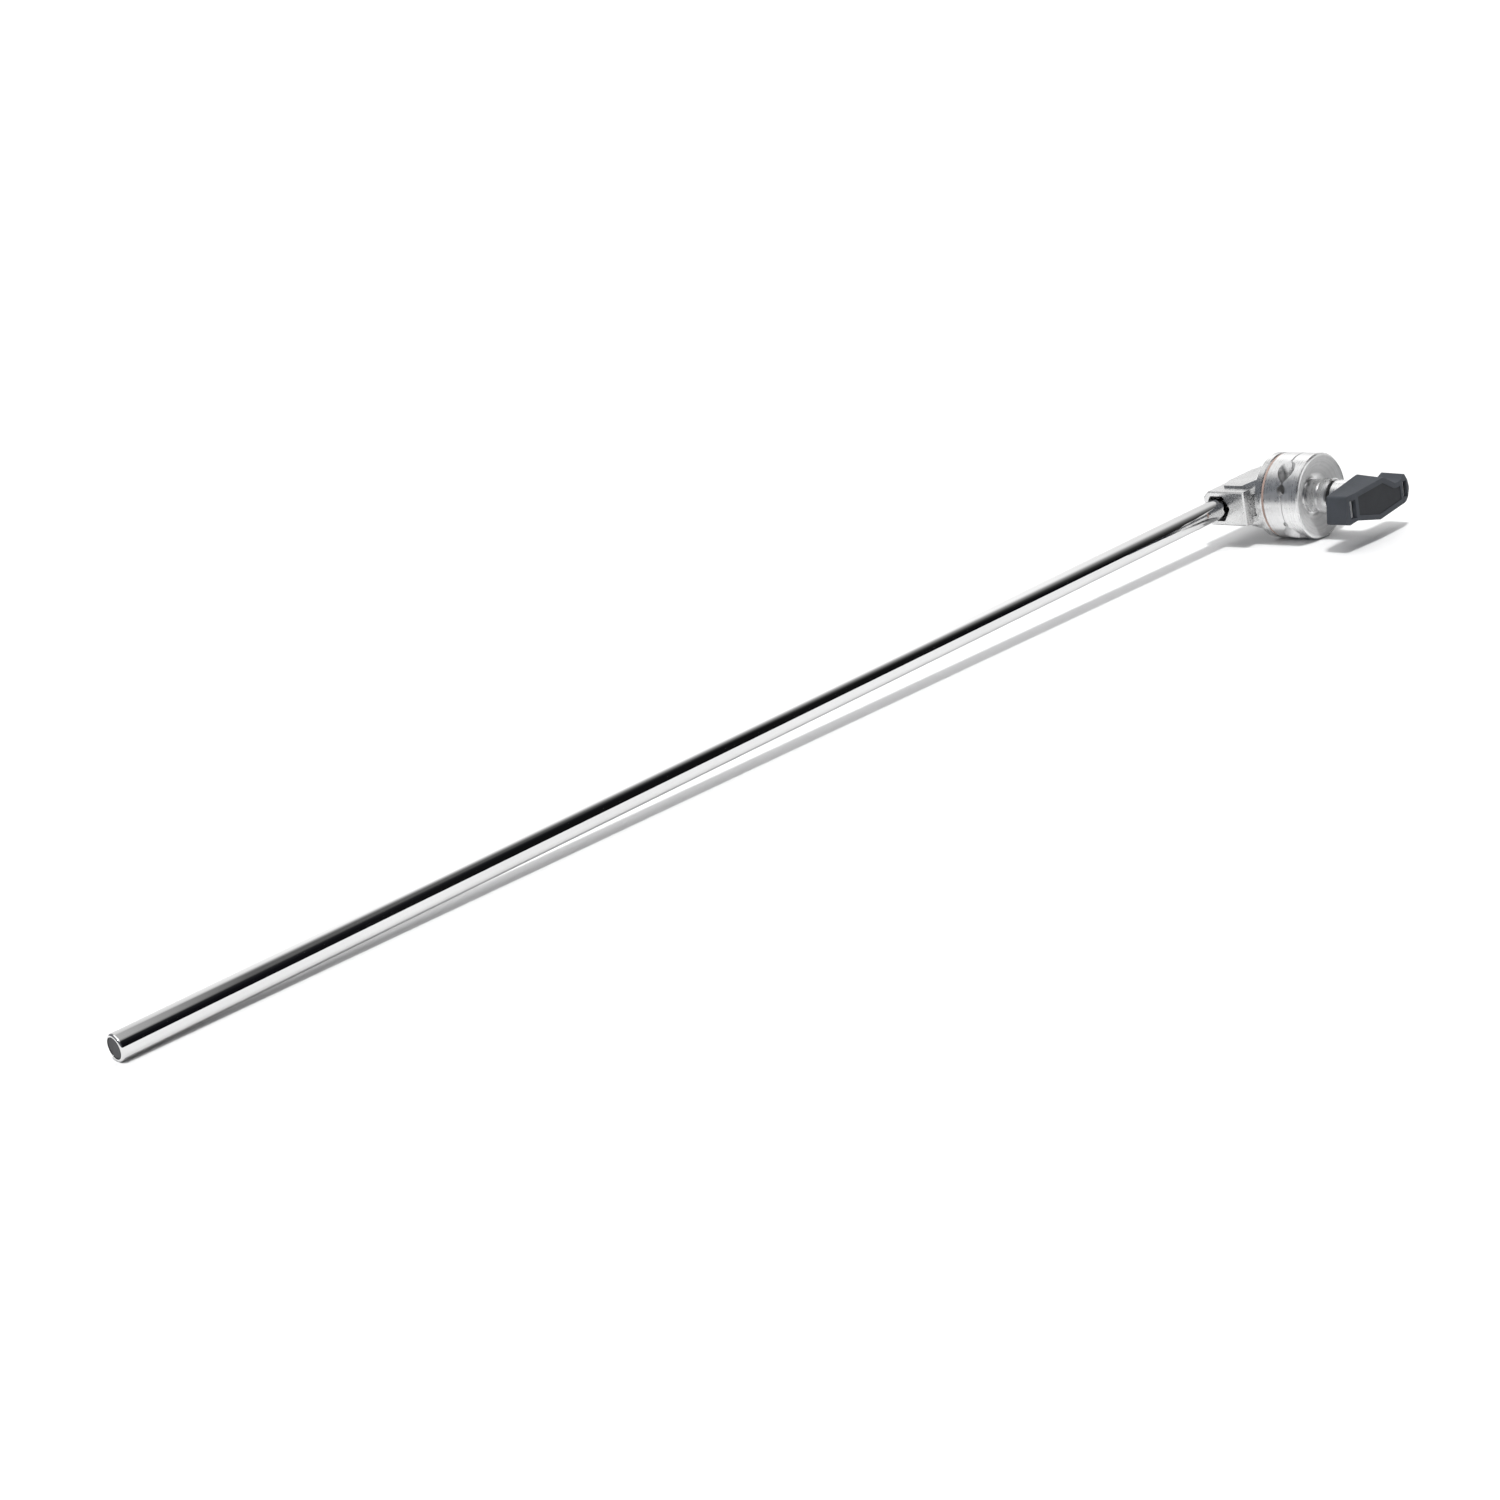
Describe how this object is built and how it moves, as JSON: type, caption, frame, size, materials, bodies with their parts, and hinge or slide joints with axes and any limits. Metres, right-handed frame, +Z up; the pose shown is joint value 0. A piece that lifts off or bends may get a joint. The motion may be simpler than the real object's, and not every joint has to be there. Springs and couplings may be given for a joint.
{
  "type": "grip arm with clamping head",
  "caption": "Long chromed rod with a disc-jaw clamping head and a T-handle, used as an extension arm to hold other rods at any angle.",
  "frame": {"origin": "middle of the footprint, on the surface the arm lies on", "axes": "+X along the rod from its free end to the head, -Y the way the handle points along the head's axis, +Z up"},
  "size_m": [1.0409, 0.127, 0.0635],
  "materials": {
    "bearing_steel": "ground",
    "black_plastic": "matte, fine texture",
    "black_rubber": "smooth",
    "bronze": "sintered bronze",
    "cast_aluminium": "polished casting with machined faces",
    "chromed_tube": "mirror-polished chrome on steel tube",
    "friction_brown": "pink-brown friction fibre",
    "grey_rubber": "matte dark grey",
    "plug_plastic": "moulded dark grey",
    "spring_steel": "dull spring steel",
    "turned_steel": "turned and nickel plated",
    "zinc_steel": "zinc plated"
  },
  "bodies": {
    "arm": {"arm_rod": "chromed_tube", "rod_end_plug": "plug_plastic", "rod_roll_pins": "spring_steel", "arm_bracket": "cast_aluminium", "stud_cross_pin": "spring_steel", "stud": "zinc_steel", "friction_disc": "friction_brown", "stud_end_washer": "zinc_steel", "stud_end_ring": "spring_steel"},
    "rear_jaw_body": {"rear_jaw": "cast_aluminium", "rear_jaw_bush": "bronze", "jaw_dowels": "spring_steel", "jaw_spring": "spring_steel"},
    "front_jaw_body": {"front_jaw": "cast_aluminium", "front_jaw_bush": "bronze"},
    "collar_body": {"thrust_collar": "turned_steel", "rear_race": "bearing_steel"},
    "bearing_cage": {"roller_cage": "bronze", "bearing_rollers": "bearing_steel"},
    "handle": {"front_race": "bearing_steel", "thrust_cup": "turned_steel", "seal_ring": "black_rubber", "handle_hub": "turned_steel", "handle_core": "zinc_steel", "handle_grip": "grey_rubber", "handle_cap": "black_plastic"}
  },
  "joints": [
    {"name": "jaw_swivel", "type": "hinge", "parent": "arm", "child": "rear_jaw_body", "pos_m": [0.47942, -0.01402, 0.03175], "axis": [0, -1, 0], "continuous": true},
    {"name": "jaw_open", "type": "slide", "parent": "rear_jaw_body", "child": "front_jaw_body", "axis": [0, -1, 0], "range_m": [0, 0.00636], "deforming": ["jaw_spring"]},
    {"name": "collar_slide", "type": "slide", "parent": "arm", "child": "collar_body", "axis": [0, -1, 0], "range_m": [0, 0.00636]},
    {"name": "handle_turn", "type": "hinge", "parent": "collar_body", "child": "handle", "pos_m": [0.47942, -0.01402, 0.03175], "axis": [0, -1, 0], "range_deg": [0, 1440]},
    {"name": "cage_turn", "type": "hinge", "parent": "collar_body", "child": "bearing_cage", "pos_m": [0.47942, -0.01402, 0.03175], "axis": [0, -1, 0], "range_deg": [0, 720.5]}
  ],
  "couplings": [
    {"joint": "jaw_open", "follows": "handle_turn", "m_per_rad": 0.00025266},
    {"joint": "collar_slide", "follows": "handle_turn", "m_per_rad": 0.00025266},
    {"joint": "cage_turn", "follows": "handle_turn", "ratio": 0.5}
  ]
}
